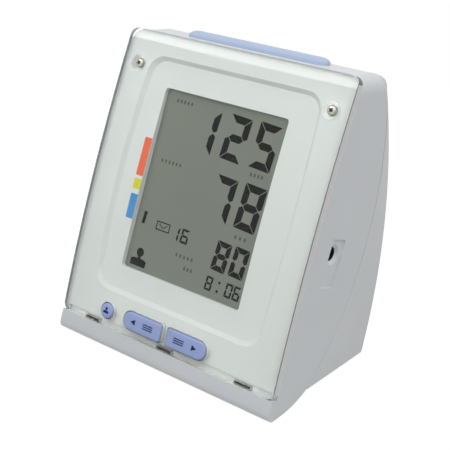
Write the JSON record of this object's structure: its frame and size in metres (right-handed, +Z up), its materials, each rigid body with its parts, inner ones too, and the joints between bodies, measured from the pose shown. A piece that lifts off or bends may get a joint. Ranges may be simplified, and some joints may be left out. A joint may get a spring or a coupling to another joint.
{
  "type": "blood pressure monitor",
  "caption": "Desktop upper-arm blood pressure monitor with a leaning face: clear cover, liquid crystal display, memory keys, long start bar on top, side sockets for power and air.",
  "frame": {"origin": "middle of the footprint, on the table", "axes": "+Z up; the face looks towards -Y and leans back; +X is to the right of a person who reads the display, where the power socket is"},
  "size_m": [0.12, 0.084, 0.137],
  "materials": {
    "housing_white": "fine satin moulding, slightly cool white",
    "clear_acrylic": "clear and polished",
    "key_blue": "satin periwinkle blue",
    "display_grey": "grey-green liquid crystal glass",
    "screw_steel": "plain plated",
    "foot_rubber": "matt",
    "board_green": "solder mask",
    "black_plastic": "fine matt",
    "cell_sleeve": "plain printed sleeve",
    "plate_nickel": "nickel plated",
    "ivory_plastic": "natural moulding",
    "coil_copper": "enamelled copper wire",
    "silicone": "soft translucent hose",
    "motor_steel": "drawn can",
    "capacitor_sleeve": "shrunk sleeve"
  },
  "bodies": {
    "housing": {"front_shell": "housing_white", "rear_shell": "housing_white", "clear_cover": "clear_acrylic", "cover_screws": "screw_steel", "housing_screws": "screw_steel", "rubber_feet": "foot_rubber", "battery_cells": "cell_sleeve", "cell_springs": "plate_nickel", "cell_plates": "plate_nickel", "display_glass": "display_grey", "display_tray": "housing_white", "display_connector": "foot_rubber", "main_board": "board_green", "board_screws": "screw_steel", "front_switches": "black_plastic", "controller_chip": "black_plastic", "capacitors": "capacitor_sleeve", "buzzer": "black_plastic", "pressure_sensor": "black_plastic", "start_board": "board_green", "start_switch": "black_plastic", "power_socket": "black_plastic", "air_socket": "ivory_plastic", "pump_motor": "motor_steel", "pump_head": "ivory_plastic", "pump_cradle": "foot_rubber", "valve_yoke": "motor_steel", "valve_coil": "coil_copper", "valve_nozzle": "ivory_plastic", "valve_spring": "plate_nickel", "air_manifold": "ivory_plastic", "bleed_valve": "black_plastic", "pump_hose": "silicone", "valve_hose": "silicone", "cuff_hose": "silicone", "sensor_hose": "silicone"},
    "start_bar": {"start_button": "key_blue"},
    "user_key": {"user_button": "key_blue"},
    "mem_left_key": {"mem_left_button": "key_blue"},
    "mem_right_key": {"mem_right_button": "key_blue"},
    "door": {"battery_door": "housing_white"},
    "shaft": {"pump_shaft": "motor_steel"},
    "plunger": {"valve_plunger": "motor_steel"}
  },
  "joints": [
    {"name": "start_press", "type": "slide", "parent": "housing", "child": "start_bar", "axis": [0, -0.1045, -0.9945], "range_m": [0, 0.001], "stiffness_N_per_m": 1500, "springref_m": -0.0005},
    {"name": "user_press", "type": "slide", "parent": "housing", "child": "user_key", "axis": [0, 0.9397, -0.342], "range_m": [0, 0.0005], "stiffness_N_per_m": 1500, "springref_m": -0.0005},
    {"name": "mem_left_press", "type": "slide", "parent": "housing", "child": "mem_left_key", "axis": [0, 0.9397, -0.342], "range_m": [0, 0.0005], "stiffness_N_per_m": 1500, "springref_m": -0.0005},
    {"name": "mem_right_press", "type": "slide", "parent": "housing", "child": "mem_right_key", "axis": [0, 0.9397, -0.342], "range_m": [0, 0.0005], "stiffness_N_per_m": 1500, "springref_m": -0.0005},
    {"name": "door_hinge", "type": "hinge", "parent": "housing", "child": "door", "pos_m": [0, 0.03495, 0.0109], "axis": [-1, 0, 0], "range_deg": [0, 80]},
    {"name": "shaft_spin", "type": "hinge", "parent": "housing", "child": "shaft", "pos_m": [0, 0.00348, 0.02379], "axis": [1, 0, 0], "continuous": true},
    {"name": "valve_close", "type": "slide", "parent": "housing", "child": "plunger", "axis": [0, 0, 1], "range_m": [0, 0.0008], "stiffness_N_per_m": 300, "springref_m": -0.002, "deforming": ["valve_spring"]}
  ]
}
